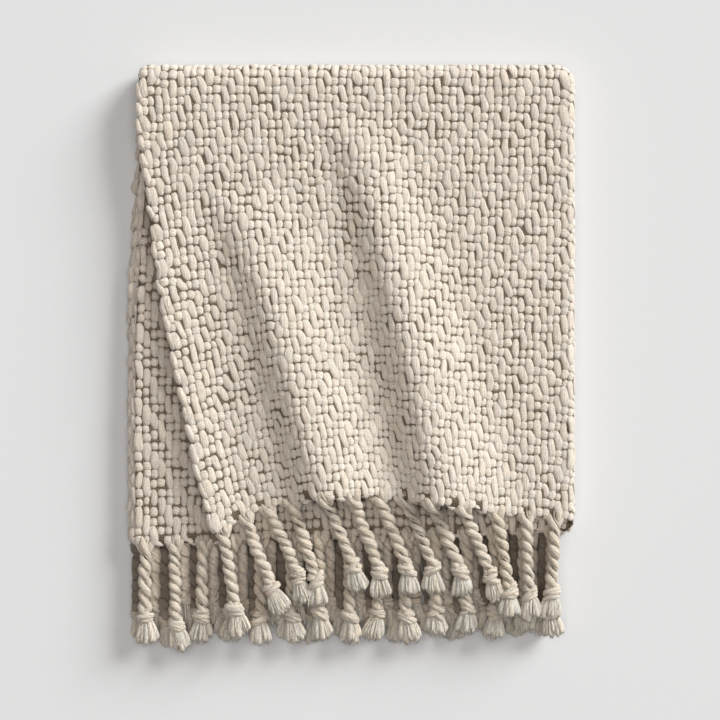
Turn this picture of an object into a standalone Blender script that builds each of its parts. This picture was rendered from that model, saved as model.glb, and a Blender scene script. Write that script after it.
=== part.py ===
"""Chunky woven throw, folded in half twice, with a knotted fringe at each hem.

Units are metres. +Z is up, +Y points at the folded top edge and +X at the
rolled right edge. The origin is on the floor, under the middle of the bundle.
The cloth has an outer and an inner panel, joined at the right roll, and each
panel goes over the top fold: four layers lie on each other.
"""
import math
from collections import namedtuple

import bmesh
import bpy

MM = 0.001

# Sheet
SHEET = 8.6 * MM
PITCH = 10.0 * MM
GAP = 0.3 * MM
RIDGED_GAP = 0.8 * MM
ROLL_CLEARANCE = 2.0 * MM

# Outline of the bundle, seen from above
RIGHT_X = 286.0 * MM
FOLD_Y = 380.0 * MM
CORNER_RIGHT = 26.0 * MM
CORNER_LEFT = 10.0 * MM
OUTER_LEFT_X = -277.0 * MM
INNER_LEFT_X = -264.0 * MM
SELVEDGE_PULL = 98.0 * MM
PULL_POWER = 1.5
CORNER_LIMIT = 0.97

# Turns of the sheet: the roll at the right and the fold at the top
SIDE_RADIUS = PITCH / 2
FOLD_RADIUS = 1.5 * PITCH
TURN_X = RIGHT_X - SIDE_RADIUS - SHEET / 2
TURN_Y = FOLD_Y - FOLD_RADIUS - SHEET / 2
FOLD_Z = SHEET / 2 + FOLD_RADIUS

# Fringe. FRONT_SLOPE is the most that a front face's normal may have along Y.
STRIP = 12.0 * MM
ROOT_WIDTH = 9.0 * MM
ROOT_TOLERANCE = 0.9 * MM
FRONT_SLOPE = -0.4
STRAND_PITCH = 38.0
SWAY = 0.6
SWAY_TURN = 2.1

# Grid of the sheet: faces across a panel, round a turn, down a half
OUTER_COLUMNS = 30
INNER_COLUMNS = 8
SIDE_STEPS = 4
TOP_ROWS = 15
FOLD_STEPS = 6
BOTTOM_ROWS = 4

# Soft drape folds of the top layer. Columns: crest at its start (x, y), crest
# at the hem (x, y), bend of the crest line, half width at both ends, height.
# They fade in over the first eighth of the way from the fold to the hem, and
# GROWTH bends how fast they rise along their length.
FADE_IN = 1 / 8
GROWTH = 0.6
Ridge = namedtuple("Ridge", "start_x start_y end_x end_y bend near far height")
RIDGES = (
    Ridge(-264, 205, -197, -190, 1.00, 34, 40, 9),
    Ridge(-158, 215, -36, -172, 0.84, 60, 70, 27),
    Ridge(-14, 310, 112, -172, 0.72, 60, 82, 30),
)

# Hems of the layers, from the right roll to the selvedge.
# Columns: columns of the outer panel's grid passed, y of the hem there.
Hem = namedtuple("Hem", "passed y")
TOP_OUTER_HEM = (
    Hem(0, -209),
    Hem(5, -202),
    Hem(11, -187),
    Hem(17, -177),
    Hem(22, -182),
    Hem(26, -196),
    Hem(28, -209),
    Hem(OUTER_COLUMNS, -229),
)
TOP_INNER_HEM = (Hem(0, -224), Hem(OUTER_COLUMNS, -243))
BOTTOM_INNER_HEM = (Hem(0, -210), Hem(OUTER_COLUMNS, -222))
BOTTOM_OUTER_HEM = (Hem(0, -228), Hem(OUTER_COLUMNS, -240))

# How the four layers lie. Columns: mid height of the sheet, x of the selvedge
# at the fold, how far it drifts, the share of the way down by which the drift
# is done, and the hem. The top outer layer drifts by PULL_POWER instead.
Layer = namedtuple("Layer", "z left drift done hem")
TOP_OUTER = Layer(FOLD_Z + FOLD_RADIUS, OUTER_LEFT_X, SELVEDGE_PULL, 1.0, TOP_OUTER_HEM)
TOP_INNER = Layer(TOP_OUTER.z - PITCH, INNER_LEFT_X, -19 * MM, 0.6, TOP_INNER_HEM)
BOTTOM_INNER = Layer(TOP_OUTER.z - 2 * PITCH, INNER_LEFT_X, -24 * MM, 0.5, BOTTOM_INNER_HEM)
BOTTOM_OUTER = Layer(TOP_OUTER.z - 3 * PITCH, OUTER_LEFT_X, -13 * MM, 0.5, BOTTOM_OUTER_HEM)

# One strand: a twisted rope, an overhand knot and a cut tuft, all four-sided.
# Columns: distance from the root, half width, half height, and which of the
# row's three heights the section lies at.
Section = namedtuple("Section", "run half_width half_height level")
STRAND = (
    Section(22, 5.2, 4.3, "rope"),
    Section(46, 5.5, 5.5, "rope"),
    Section(88, 5.5, 5.5, "rope"),
    Section(94, 5.0, 5.0, "rope"),
    Section(97, 9.0, 8.0, "knot"),
    Section(108, 9.0, 8.0, "knot"),
    Section(111, 6.0, 5.5, "tuft"),
    Section(128, 8.5, 6.0, "tuft"),
    Section(134, 6.0, 4.0, "tuft"),
)
KNOT_RUN = 97
TIP_RUN = STRAND[-1].run

# Heights of a row's rope, knot and tuft above the floor, and the distance
# that it runs level with its hem before it comes down.
Lie = namedtuple("Lie", "level_run rope knot tuft")
TOP_OUTER_LIE = Lie(0, 38.5, 41.0, 42.0)
TOP_INNER_LIE = Lie(30, 24.6, 25.2, 25.2)
BOTTOM_INNER_LIE = Lie(26, 5.5, 8.0, 6.0)
BOTTOM_OUTER_LIE = Lie(0, 5.5, 8.0, 6.0)

# Strands of the top row, which lie as they fell.
# Columns: x of the root, sideways drift to the knot and to the tip.
Fall = namedtuple("Fall", "x to_knot to_tip")
TOP_OUTER_STRANDS = (
    Fall(-169, 18, 30),
    Fall(-140, 30, 42),
    Fall(-110, 34, 42),
    Fall(-78, 32, 38),
    Fall(-36, 36, 46),
    Fall(-2, 36, 40),
    Fall(33, 36, 38),
    Fall(67, 36, 42),
    Fall(102, 34, 42),
    Fall(142, 38, 50),
    Fall(184, 20, 26),
    Fall(224, 4, 10),
    Fall(262, -4, -2),
)

# Strands of the hidden rows, evenly spaced. Columns: x of the first, count.
Even = namedtuple("Even", "first_x count")
TOP_INNER_STRANDS = Even(-271, 15)
BOTTOM_INNER_STRANDS = Even(-261, 14)
BOTTOM_OUTER_STRANDS = Even(-280, 15)

CLOTH_COLOUR = (0.74, 0.69, 0.60, 1.0)
FRINGE_COLOUR = (0.78, 0.73, 0.64, 1.0)


def clear_scene():
    """Remove every object, so that the script starts from nothing."""
    for item in list(bpy.data.objects):
        bpy.data.objects.remove(item, do_unlink=True)


def yarn_material(name, colour):
    """Matt undyed yarn."""
    material = bpy.data.materials.new(name)
    material.use_nodes = True
    shader = material.node_tree.nodes["Principled BSDF"]
    shader.inputs["Base Color"].default_value = colour
    shader.inputs["Roughness"].default_value = 0.95
    shader.inputs["Metallic"].default_value = 0.0
    return material


def smooth(value):
    """Ease from 0 to 1, flat at both ends."""
    value = min(max(value, 0.0), 1.0)
    return value * value * (3 - 2 * value)


def hem_y(hem, share):
    """Place of a hem along Y, `share` of the way from the roll to the selvedge."""
    passed = share * OUTER_COLUMNS
    for near, far in zip(hem, hem[1:]):
        if passed <= far.passed:
            part = (passed - near.passed) / (far.passed - near.passed)
            return (near.y + part * (far.y - near.y)) * MM
    return hem[-1].y * MM


def lift(x, y):
    """Height that the drape folds raise the top layer at a place."""
    height = 0.0
    for ridge in RIDGES:
        along = (ridge.start_y * MM - y) / ((ridge.start_y - ridge.end_y) * MM)
        if along <= 0:
            continue
        reach = min(along, 1.0)
        crest = ridge.start_x + (ridge.end_x - ridge.start_x) * reach ** ridge.bend
        wide = ridge.near + (ridge.far - ridge.near) * reach
        off = abs(x / MM - crest) / wide
        if off < 1:
            rise = math.sin(0.5 * math.pi * reach) ** GROWTH
            height += ridge.height * MM * rise * 0.5 * (1 + math.cos(math.pi * off))
    return height


def corner_drop(x):
    """How far the top fold draws down at the bundle's two rounded corners."""
    right = max(0.0, (x - RIGHT_X + CORNER_RIGHT) / CORNER_RIGHT)
    left = max(0.0, (OUTER_LEFT_X + CORNER_LEFT - x) / CORNER_LEFT)
    drop = 0.0
    for reach, radius in ((right, CORNER_RIGHT), (left, CORNER_LEFT)):
        drop += radius * (1 - math.sqrt(1 - min(reach, CORNER_LIMIT) ** 2))
    return drop


def selvedge_x(layer, down):
    """X of a layer's left edge, `down` of the way from the fold to the hem."""
    if layer is TOP_OUTER:
        return layer.left + layer.drift * down ** PULL_POWER
    return layer.left + layer.drift * smooth(down / layer.done)


def layer_point(layer, share, down, cut_back=0.0):
    """Middle of the sheet on one layer, which stops `cut_back` before its hem."""
    x = TURN_X - share * (TURN_X - selvedge_x(layer, down))
    start = TURN_Y - corner_drop(x)
    y = start - down * (start - hem_y(layer.hem, share) - cut_back)
    z = layer.z
    if layer is TOP_OUTER:
        z += lift(x, y) * smooth(down / FADE_IN)
    return x, y, z


def sheet_column(index):
    """Where a column of the grid lies: panel, share across, angle of the roll."""
    if index <= OUTER_COLUMNS:
        return "outer", 1 - index / OUTER_COLUMNS, 0.0
    index -= OUTER_COLUMNS
    if index < SIDE_STEPS:
        return "roll", 0.0, math.pi * index / SIDE_STEPS
    return "inner", (index - SIDE_STEPS) / INNER_COLUMNS, 0.0


def half_point(top, column, down):
    """Middle of the sheet on the top or the bottom half of the bundle."""
    outer = TOP_OUTER if top else BOTTOM_OUTER
    inner = TOP_INNER if top else BOTTOM_INNER
    panel, share, angle = column
    if panel == "outer":
        return layer_point(outer, share, down, STRIP)
    if panel == "inner":
        return layer_point(inner, share, down, STRIP)
    depth = (1 - math.cos(angle)) / 2
    x = TURN_X + SIDE_RADIUS * math.sin(angle)
    hem = hem_y(outer.hem, 0) * (1 - depth) + hem_y(inner.hem, 0) * depth + STRIP
    start = TURN_Y - corner_drop(x)
    z = outer.z * (1 - depth) + inner.z * depth
    return x, start - down * (start - hem), z


def fold_point(column, angle):
    """Middle of the sheet on the top fold, `angle` of the way round it."""
    panel, share, roll = column
    depth = (1 - math.cos(roll)) / 2 if panel == "roll" else float(panel == "inner")
    radius = FOLD_RADIUS - depth * PITCH
    x, y, z = half_point(True, column, 0.0)
    return x, y + radius * math.sin(angle), FOLD_Z + radius * math.cos(angle)


def sheet_point(column_index, row_index):
    """Middle of the whole sheet at a corner of its grid."""
    column = sheet_column(column_index)
    if row_index <= TOP_ROWS:
        return half_point(True, column, 1 - row_index / TOP_ROWS)
    row_index -= TOP_ROWS
    if row_index < FOLD_STEPS:
        return fold_point(column, math.pi * row_index / FOLD_STEPS)
    return half_point(False, column, (row_index - FOLD_STEPS) / BOTTOM_ROWS)


def add_object(name, mesh_shape, collection, material):
    """Turn a bmesh into a named object of the throw."""
    mesh = bpy.data.meshes.new(name)
    mesh_shape.to_mesh(mesh)
    mesh_shape.free()
    mesh.materials.append(material)
    item = bpy.data.objects.new(name, mesh)
    collection.objects.link(item)
    return item


def make_cloth(collection, material):
    """The sheet: an open grid laid along its folds, then given its thickness."""
    columns = OUTER_COLUMNS + SIDE_STEPS + INNER_COLUMNS
    rows = TOP_ROWS + FOLD_STEPS + BOTTOM_ROWS
    shape = bmesh.new()
    bmesh.ops.create_grid(shape, x_segments=columns, y_segments=rows, size=1)
    for corner in shape.verts:
        column_index = round((corner.co.x + 1) / 2 * columns)
        row_index = round((corner.co.y + 1) / 2 * rows)
        corner.co = sheet_point(column_index, row_index)
    cloth = add_object("throw_cloth", shape, collection, material)
    solid = cloth.modifiers.new("Thickness", "SOLIDIFY")
    solid.thickness = SHEET
    solid.offset = 0
    return cloth


def even_strands(even):
    """Strands of a hidden row, evenly spaced, each a little off straight."""
    strands = []
    for index in range(even.count):
        sway = SWAY * math.sin(SWAY_TURN * index)
        strands.append(Fall(even.first_x + index * STRAND_PITCH, sway, 0.5 * sway))
    return strands


def strand_height(lie, section, root_z):
    """Height of a strand's section, level with its hem until it comes down."""
    resting = getattr(lie, section.level) * MM
    if section.run < lie.level_run:
        return max(root_z, resting)
    return resting


def extrude_strand(shape, face, fall, lie):
    """Draw one strand out of a face of its strip, section by section."""
    root = face.calc_center_median()
    slant = math.atan(abs(fall.to_knot) / KNOT_RUN)
    for section in STRAND:
        if section.run <= KNOT_RUN:
            drift = fall.to_knot * section.run / KNOT_RUN
        else:
            part = (section.run - KNOT_RUN) / (TIP_RUN - KNOT_RUN)
            drift = fall.to_knot + part * (fall.to_tip - fall.to_knot)
        x = root.x + drift * MM
        y = root.y - section.run * MM * math.cos(slant)
        z = strand_height(lie, section, root.z)
        middle = face.calc_center_median()
        result = bmesh.ops.extrude_discrete_faces(shape, faces=[face])
        face = result["faces"][0]
        for corner in face.verts:
            side = 1 if corner.co.x > middle.x else -1
            top = 1 if corner.co.z > middle.z else -1
            corner.co.x = x + side * section.half_width * MM
            corner.co.y = y
            corner.co.z = z + top * section.half_height * MM


def strip_stops(layer, strands):
    """Places along a hem where its strip bends or a strand's root begins or ends."""
    width = TURN_X - selvedge_x(layer, 1.0)
    stops = [TURN_X - width, TURN_X - ROLL_CLEARANCE]
    for bend in layer.hem[1:-1]:
        stops.append(TURN_X - width * bend.passed / OUTER_COLUMNS)
    for fall in strands:
        stops.append(fall.x * MM - ROOT_WIDTH / 2)
        stops.append(fall.x * MM + ROOT_WIDTH / 2)
    return sorted(stops)


def make_fringe(name, layer, strands, lie, collection, material):
    """A narrow strip along a hem, with its strands drawn out of its front."""
    stops = strip_stops(layer, strands)
    count = len(stops) - 1
    width = TURN_X - selvedge_x(layer, 1.0)
    gap = RIDGED_GAP if layer is TOP_OUTER else GAP
    shape = bmesh.new()
    bmesh.ops.create_grid(shape, x_segments=count, y_segments=1, size=1)
    for corner in shape.verts:
        x = stops[round((corner.co.x + 1) / 2 * count)]
        front = layer_point(layer, (TURN_X - x) / width, 1.0)
        back = STRIP - gap if corner.co.y > 0 else 0.0
        corner.co = (x, front[1] + back, front[2] - SHEET / 2)
    raised = bmesh.ops.extrude_face_region(shape, geom=shape.faces[:])
    tops = [part for part in raised["geom"] if isinstance(part, bmesh.types.BMVert)]
    bmesh.ops.translate(shape, verts=tops, vec=(0, 0, SHEET))
    bmesh.ops.recalc_face_normals(shape, faces=shape.faces[:])
    for fall in strands:
        fronts = [face for face in shape.faces if is_front(face, fall.x * MM)]
        extrude_strand(shape, fronts[0], fall, lie)
    bmesh.ops.recalc_face_normals(shape, faces=shape.faces[:])
    return add_object(name, shape, collection, material)


def is_front(face, x):
    """Whether a face is the strip's front face at a strand's root."""
    middle = face.calc_center_median()
    return face.normal.y < FRONT_SLOPE and abs(middle.x - x) < ROOT_TOLERANCE


def main():
    """Build the folded cloth and the fringe of each of its four hems."""
    clear_scene()
    collection = bpy.data.collections.new("chunky_throw")
    bpy.context.scene.collection.children.link(collection)
    cloth = yarn_material("cream_weave", CLOTH_COLOUR)
    fringe = yarn_material("cream_fringe", FRINGE_COLOUR)
    make_cloth(collection, cloth)
    make_fringe("fringe_top_outer", TOP_OUTER, TOP_OUTER_STRANDS, TOP_OUTER_LIE, collection, fringe)
    hidden_rows = (
        ("fringe_top_inner", TOP_INNER, TOP_INNER_STRANDS, TOP_INNER_LIE),
        ("fringe_bottom_inner", BOTTOM_INNER, BOTTOM_INNER_STRANDS, BOTTOM_INNER_LIE),
        ("fringe_bottom_outer", BOTTOM_OUTER, BOTTOM_OUTER_STRANDS, BOTTOM_OUTER_LIE),
    )
    for name, layer, even, lie in hidden_rows:
        make_fringe(name, layer, even_strands(even), lie, collection, fringe)


main()
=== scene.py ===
"""Looks of the folded chunky throw: yarns, fringe, finishes, light and camera.

The throw is a woven panel of thick slubby yarn, folded in half twice. Every
yarn float and knob of the weave that shows is a small closed mesh laid on the
folded sheet, and the fringe is twisted, knotted and cut yarn. Lengths are in
metres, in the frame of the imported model: +X right, +Y to the top fold, +Z up.
"""
import logging
import math
from dataclasses import dataclass, field, replace
from enum import Enum
from typing import ClassVar

import bpy
import numpy as np
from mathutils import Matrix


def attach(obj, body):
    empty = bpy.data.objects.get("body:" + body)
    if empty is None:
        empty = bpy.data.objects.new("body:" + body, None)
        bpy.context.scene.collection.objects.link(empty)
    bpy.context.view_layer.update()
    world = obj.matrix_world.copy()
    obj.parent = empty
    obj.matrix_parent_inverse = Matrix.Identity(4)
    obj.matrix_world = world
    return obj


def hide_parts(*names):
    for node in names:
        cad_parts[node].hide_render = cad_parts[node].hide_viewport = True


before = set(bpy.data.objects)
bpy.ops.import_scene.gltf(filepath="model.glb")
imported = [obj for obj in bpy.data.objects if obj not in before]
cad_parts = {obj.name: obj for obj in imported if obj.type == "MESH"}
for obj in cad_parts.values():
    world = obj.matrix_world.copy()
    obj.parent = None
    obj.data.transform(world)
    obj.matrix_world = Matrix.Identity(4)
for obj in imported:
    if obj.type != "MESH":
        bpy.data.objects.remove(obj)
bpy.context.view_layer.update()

MM = 0.001
LOG = logging.getLogger("throw")
SEED = 41
Array = np.ndarray


def ease(value: Array) -> Array:
    """Ease from 0 to 1, flat at both ends."""
    value = np.clip(value, 0.0, 1.0)
    return value * value * (3 - 2 * value)


def unit(vectors: Array) -> Array:
    """Vectors scaled to length one."""
    return vectors / np.maximum(np.linalg.norm(vectors, axis=-1, keepdims=True), 1e-12)


def rounded(place: Array, power: float) -> Array:
    """Blunt taper of a yarn, from 0 at its ends (-1 and 1) to 1 at its middle."""
    return np.sqrt(np.clip(1 - np.abs(place) ** power, 0, 1))


class Face(Enum):
    """Which face of the woven cloth a yarn lies on."""

    OUT = 1.0
    IN = -1.0


@dataclass(frozen=True)
class DrapeFold:
    """A soft ridge of the top layer, which grows from its start to the hem.

    Places and sizes are in millimetres. The slope at its left is steeper than
    the one at its right: lee and sunny are the two sides' shares of its width.
    """

    start: tuple[float, float]
    end: tuple[float, float]
    bend: float
    near: float
    far: float
    height: float
    growth: float = 0.6
    lee: float = 0.82
    sunny: float = 1.6

    def rise(self, x: Array, y: Array) -> Array:
        """Height of the ridge over places of the plan.

        Args:
            x: Places along X, in millimetres.
            y: Places along Y, in millimetres.

        Returns:
            Heights in millimetres.
        """
        reach = np.clip((self.start[1] - y) / (self.start[1] - self.end[1]), 0.0, 1.0)
        crest = self.start[0] + (self.end[0] - self.start[0]) * reach ** self.bend
        wide = self.near + (self.far - self.near) * reach
        wide = wide * np.where(x > crest, self.sunny, self.lee)
        off = np.clip(np.abs(x - crest) / wide, 0.0, 1.0)
        grown = np.sin(0.5 * math.pi * reach) ** self.growth
        return self.height * grown * 0.5 * (1 + np.cos(math.pi * off))


@dataclass
class FoldedSheet:
    """The folded panel: maps a yarn column and row to a place in space.

    A column number runs from the outer panel's selvedge over the side roll to
    the inner panel's selvedge. A row number runs from the top half's hem over
    the top fold to the bottom half's hem. Sizes are in millimetres.

    The pull is how far the top selvedge draws in towards its hem. A drift is
    how far another selvedge leans out, and by what share of the way to its hem.
    The drape folds are full grown at one part in onset of that way.
    """

    columns: int = 58
    roll_columns: int = 3
    rows: int = 50
    fold_rows: int = 5
    sheet: float = 8.6
    pitch: float = 10.0
    right_x: float = 288.0
    fold_y: float = 382.5
    corner_right: float = 26.0
    corner_left: float = 10.0
    outer_left: float = -277.0
    inner_left: float = -264.0
    steepest: float = 0.97
    pull: float = 98.0
    pull_power: float = 1.5
    inner_top_drift: tuple[float, float] = (19.0, 0.6)
    inner_bottom_drift: tuple[float, float] = (24.0, 0.5)
    outer_bottom_drift: tuple[float, float] = (13.0, 0.5)
    onset: float = 8.0
    folds: tuple[DrapeFold, ...] = (
        DrapeFold((-264, 205), (-197, -190), 1.00, 34, 40, 9),
        DrapeFold((-158, 215), (-36, -172), 0.84, 60, 70, 27),
        DrapeFold((-14, 310), (112, -172), 0.72, 60, 82, 29, lee=0.76, sunny=1.3),
    )
    hem_shares: tuple[float, ...] = (0, 5 / 30, 11 / 30, 17 / 30, 22 / 30, 26 / 30, 28 / 30, 1)
    top_outer_hem: tuple[float, ...] = (-209, -202, -187, -177, -182, -196, -209, -229)
    top_inner_hem: tuple[float, float] = (-224, -243)
    bottom_inner_hem: tuple[float, float] = (-210, -222)
    bottom_outer_hem: tuple[float, float] = (-228, -240)
    roll_radius: float = field(init=False)
    fold_radius: float = field(init=False)
    turn_x: float = field(init=False)
    turn_y: float = field(init=False)
    fold_z: float = field(init=False)
    width: int = field(init=False)
    length: int = field(init=False)
    spread: Array = field(init=False, repr=False)

    SHARE_STEPS: ClassVar[int] = 200
    DOWN_STEPS: ClassVar[int] = 60

    def __post_init__(self) -> None:
        """Work out the turns, and how the drape folds take up columns."""
        self.roll_radius = self.pitch / 2
        self.fold_radius = 1.5 * self.pitch
        self.turn_x = self.right_x - self.roll_radius - self.sheet / 2
        self.turn_y = self.fold_y - self.fold_radius - self.sheet / 2
        self.fold_z = self.sheet / 2 + self.fold_radius
        self.width = self.columns * 2 + self.roll_columns
        self.length = self.rows * 2 + self.fold_rows
        share = np.linspace(0, 1, self.SHARE_STEPS + 1)
        table = []
        for down in np.linspace(0, 1, self.DOWN_STEPS + 1):
            left = self.outer_left + self.pull * down ** self.pull_power
            x = self.turn_x - share * (self.turn_x - left)
            hem = np.interp(share, self.hem_shares, self.top_outer_hem)
            y = self.turn_y - down * (self.turn_y - hem)
            z = self.lift(x, y) * ease(np.array(down * self.onset))
            steps = np.hypot(np.diff(x), np.diff(z))
            arc = np.concatenate([[0], np.cumsum(steps)])
            table.append(np.interp(share, arc / arc[-1], share))
        self.spread = np.array(table)

    def lift(self, x: Array, y: Array) -> Array:
        """Height of all drape folds over places of the plan, in millimetres."""
        return sum(fold.rise(x, y) for fold in self.folds)

    def spread_share(self, share: Array, down: Array) -> Array:
        """Share of the plan's width at which a share of the cloth's width lies.

        Args:
            share: Shares of the cloth's width, from the roll to the selvedge.
            down: Shares of the way from the top fold to the hem.

        Returns:
            Shares of the plan's width.
        """
        col = share * self.SHARE_STEPS
        row = down * self.DOWN_STEPS
        c0 = np.clip(np.floor(col).astype(int), 0, self.SHARE_STEPS - 1)
        r0 = np.clip(np.floor(row).astype(int), 0, self.DOWN_STEPS - 1)
        fc, fr = col - c0, row - r0
        near = self.spread[r0, c0] * (1 - fc) + self.spread[r0, c0 + 1] * fc
        far = self.spread[r0 + 1, c0] * (1 - fc) + self.spread[r0 + 1, c0 + 1] * fc
        return near * (1 - fr) + far * fr

    def place(self, column: Array, row: Array) -> Array:
        """Middle of the sheet at yarn columns and rows.

        Args:
            column: Column numbers, which may lie a little past a selvedge.
            row: Row numbers, which may lie a little past a hem.

        Returns:
            Points in millimetres, with a last axis of three.
        """
        column, row = np.broadcast_arrays(np.asarray(column, float), np.asarray(row, float))
        roll = np.clip((column - self.columns) / self.roll_columns, 0, 1) * math.pi
        depth = (1 - np.cos(roll)) / 2
        outer = column <= self.columns
        inner_share = (column - self.columns - self.roll_columns) / self.columns
        share = np.where(outer, 1 - column / self.columns, np.maximum(inner_share, 0))
        turn = np.clip((row - self.rows) / self.fold_rows, 0, 1) * math.pi
        top = row <= self.rows
        bottom_down = (row - self.rows - self.fold_rows) / self.rows
        down = np.where(top, 1 - row / self.rows, np.maximum(bottom_down, 0))
        top_half = turn < math.pi / 2
        left = self._left(depth, top_half, np.maximum(down, 0))
        hem = self._hem(share, depth, top_half)
        loose = top_half & outer
        known = np.clip(share, 0, 1), np.clip(down, 0, 1)
        eased = np.where(loose, self.spread_share(*known) + share - known[0], share)
        x = self.turn_x - eased * (self.turn_x - left) + self.roll_radius * np.sin(roll)
        start = self.turn_y - self._corner(x)
        y = start - down * (start - hem)
        radius = self.fold_radius - depth * self.pitch
        rise = np.where(loose, self.lift(x, y) * ease(down * self.onset) * (1 - depth), 0.0)
        y = y + radius * np.sin(turn)
        z = self.fold_z + radius * np.cos(turn) + rise
        return np.stack([x, y, z], axis=-1)

    def _left(self, depth: Array, top: Array, down: Array) -> Array:
        """Where a layer's selvedge lies along X.

        Args:
            depth: 0 on the outer panel and 1 on the inner one.
            top: Whether each place lies in the top half.
            down: Shares of the way from the top fold to the hem.

        Returns:
            Places along X.
        """
        outer_bottom = self.outer_left - self._drift(down, self.outer_bottom_drift)
        inner_top = self.inner_left - self._drift(down, self.inner_top_drift)
        inner_bottom = self.inner_left - self._drift(down, self.inner_bottom_drift)
        outer = np.where(top, self.top_left(down), outer_bottom)
        return outer * (1 - depth) + np.where(top, inner_top, inner_bottom) * depth

    def top_left(self, down: Array) -> Array:
        """Where the top layer's own selvedge lies along X."""
        return self.outer_left + self.pull * down ** self.pull_power

    @staticmethod
    def _drift(down: Array, drift: tuple[float, float]) -> Array:
        """How far a selvedge has leaned out at shares of the way down."""
        return drift[0] * ease(down / drift[1])

    def _hem(self, share: Array, depth: Array, top: Array) -> Array:
        """Where a layer's hem lies along Y.

        Args:
            share: Shares of the width, from the roll to the selvedge.
            depth: 0 on the outer panel and 1 on the inner one.
            top: Whether each place lies in the top half.

        Returns:
            Places along Y.
        """
        outer_top = np.interp(share, self.hem_shares, self.top_outer_hem)
        ends = (0.0, 1.0)
        inner_top = np.interp(share, ends, self.top_inner_hem)
        inner_bottom = np.interp(share, ends, self.bottom_inner_hem)
        outer_bottom = np.interp(share, ends, self.bottom_outer_hem)
        outer = np.where(top, outer_top, outer_bottom)
        return outer * (1 - depth) + np.where(top, inner_top, inner_bottom) * depth

    def _corner(self, x: Array) -> Array:
        """How far the top fold draws down at the rounded corners.

        Args:
            x: Places along X.

        Returns:
            Distances along Y.
        """
        right = (x - self.right_x + self.corner_right) / self.corner_right
        right = np.clip(right, 0, self.steepest)
        left = (self.outer_left + self.corner_left - x) / self.corner_left
        left = np.clip(left, 0, self.steepest)
        drop = self.corner_right * (1 - np.sqrt(1 - right ** 2))
        return drop + self.corner_left * (1 - np.sqrt(1 - left ** 2))

    def normal(self, column: Array, row: Array) -> Array:
        """Outward direction of the cloth's outer face.

        Args:
            column: Column numbers.
            row: Row numbers.

        Returns:
            Directions of length one.
        """
        step = 0.15
        across = self.place(column + step, row) - self.place(column - step, row)
        along = self.place(column, row + step) - self.place(column, row - step)
        return unit(np.cross(across, along))


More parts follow.
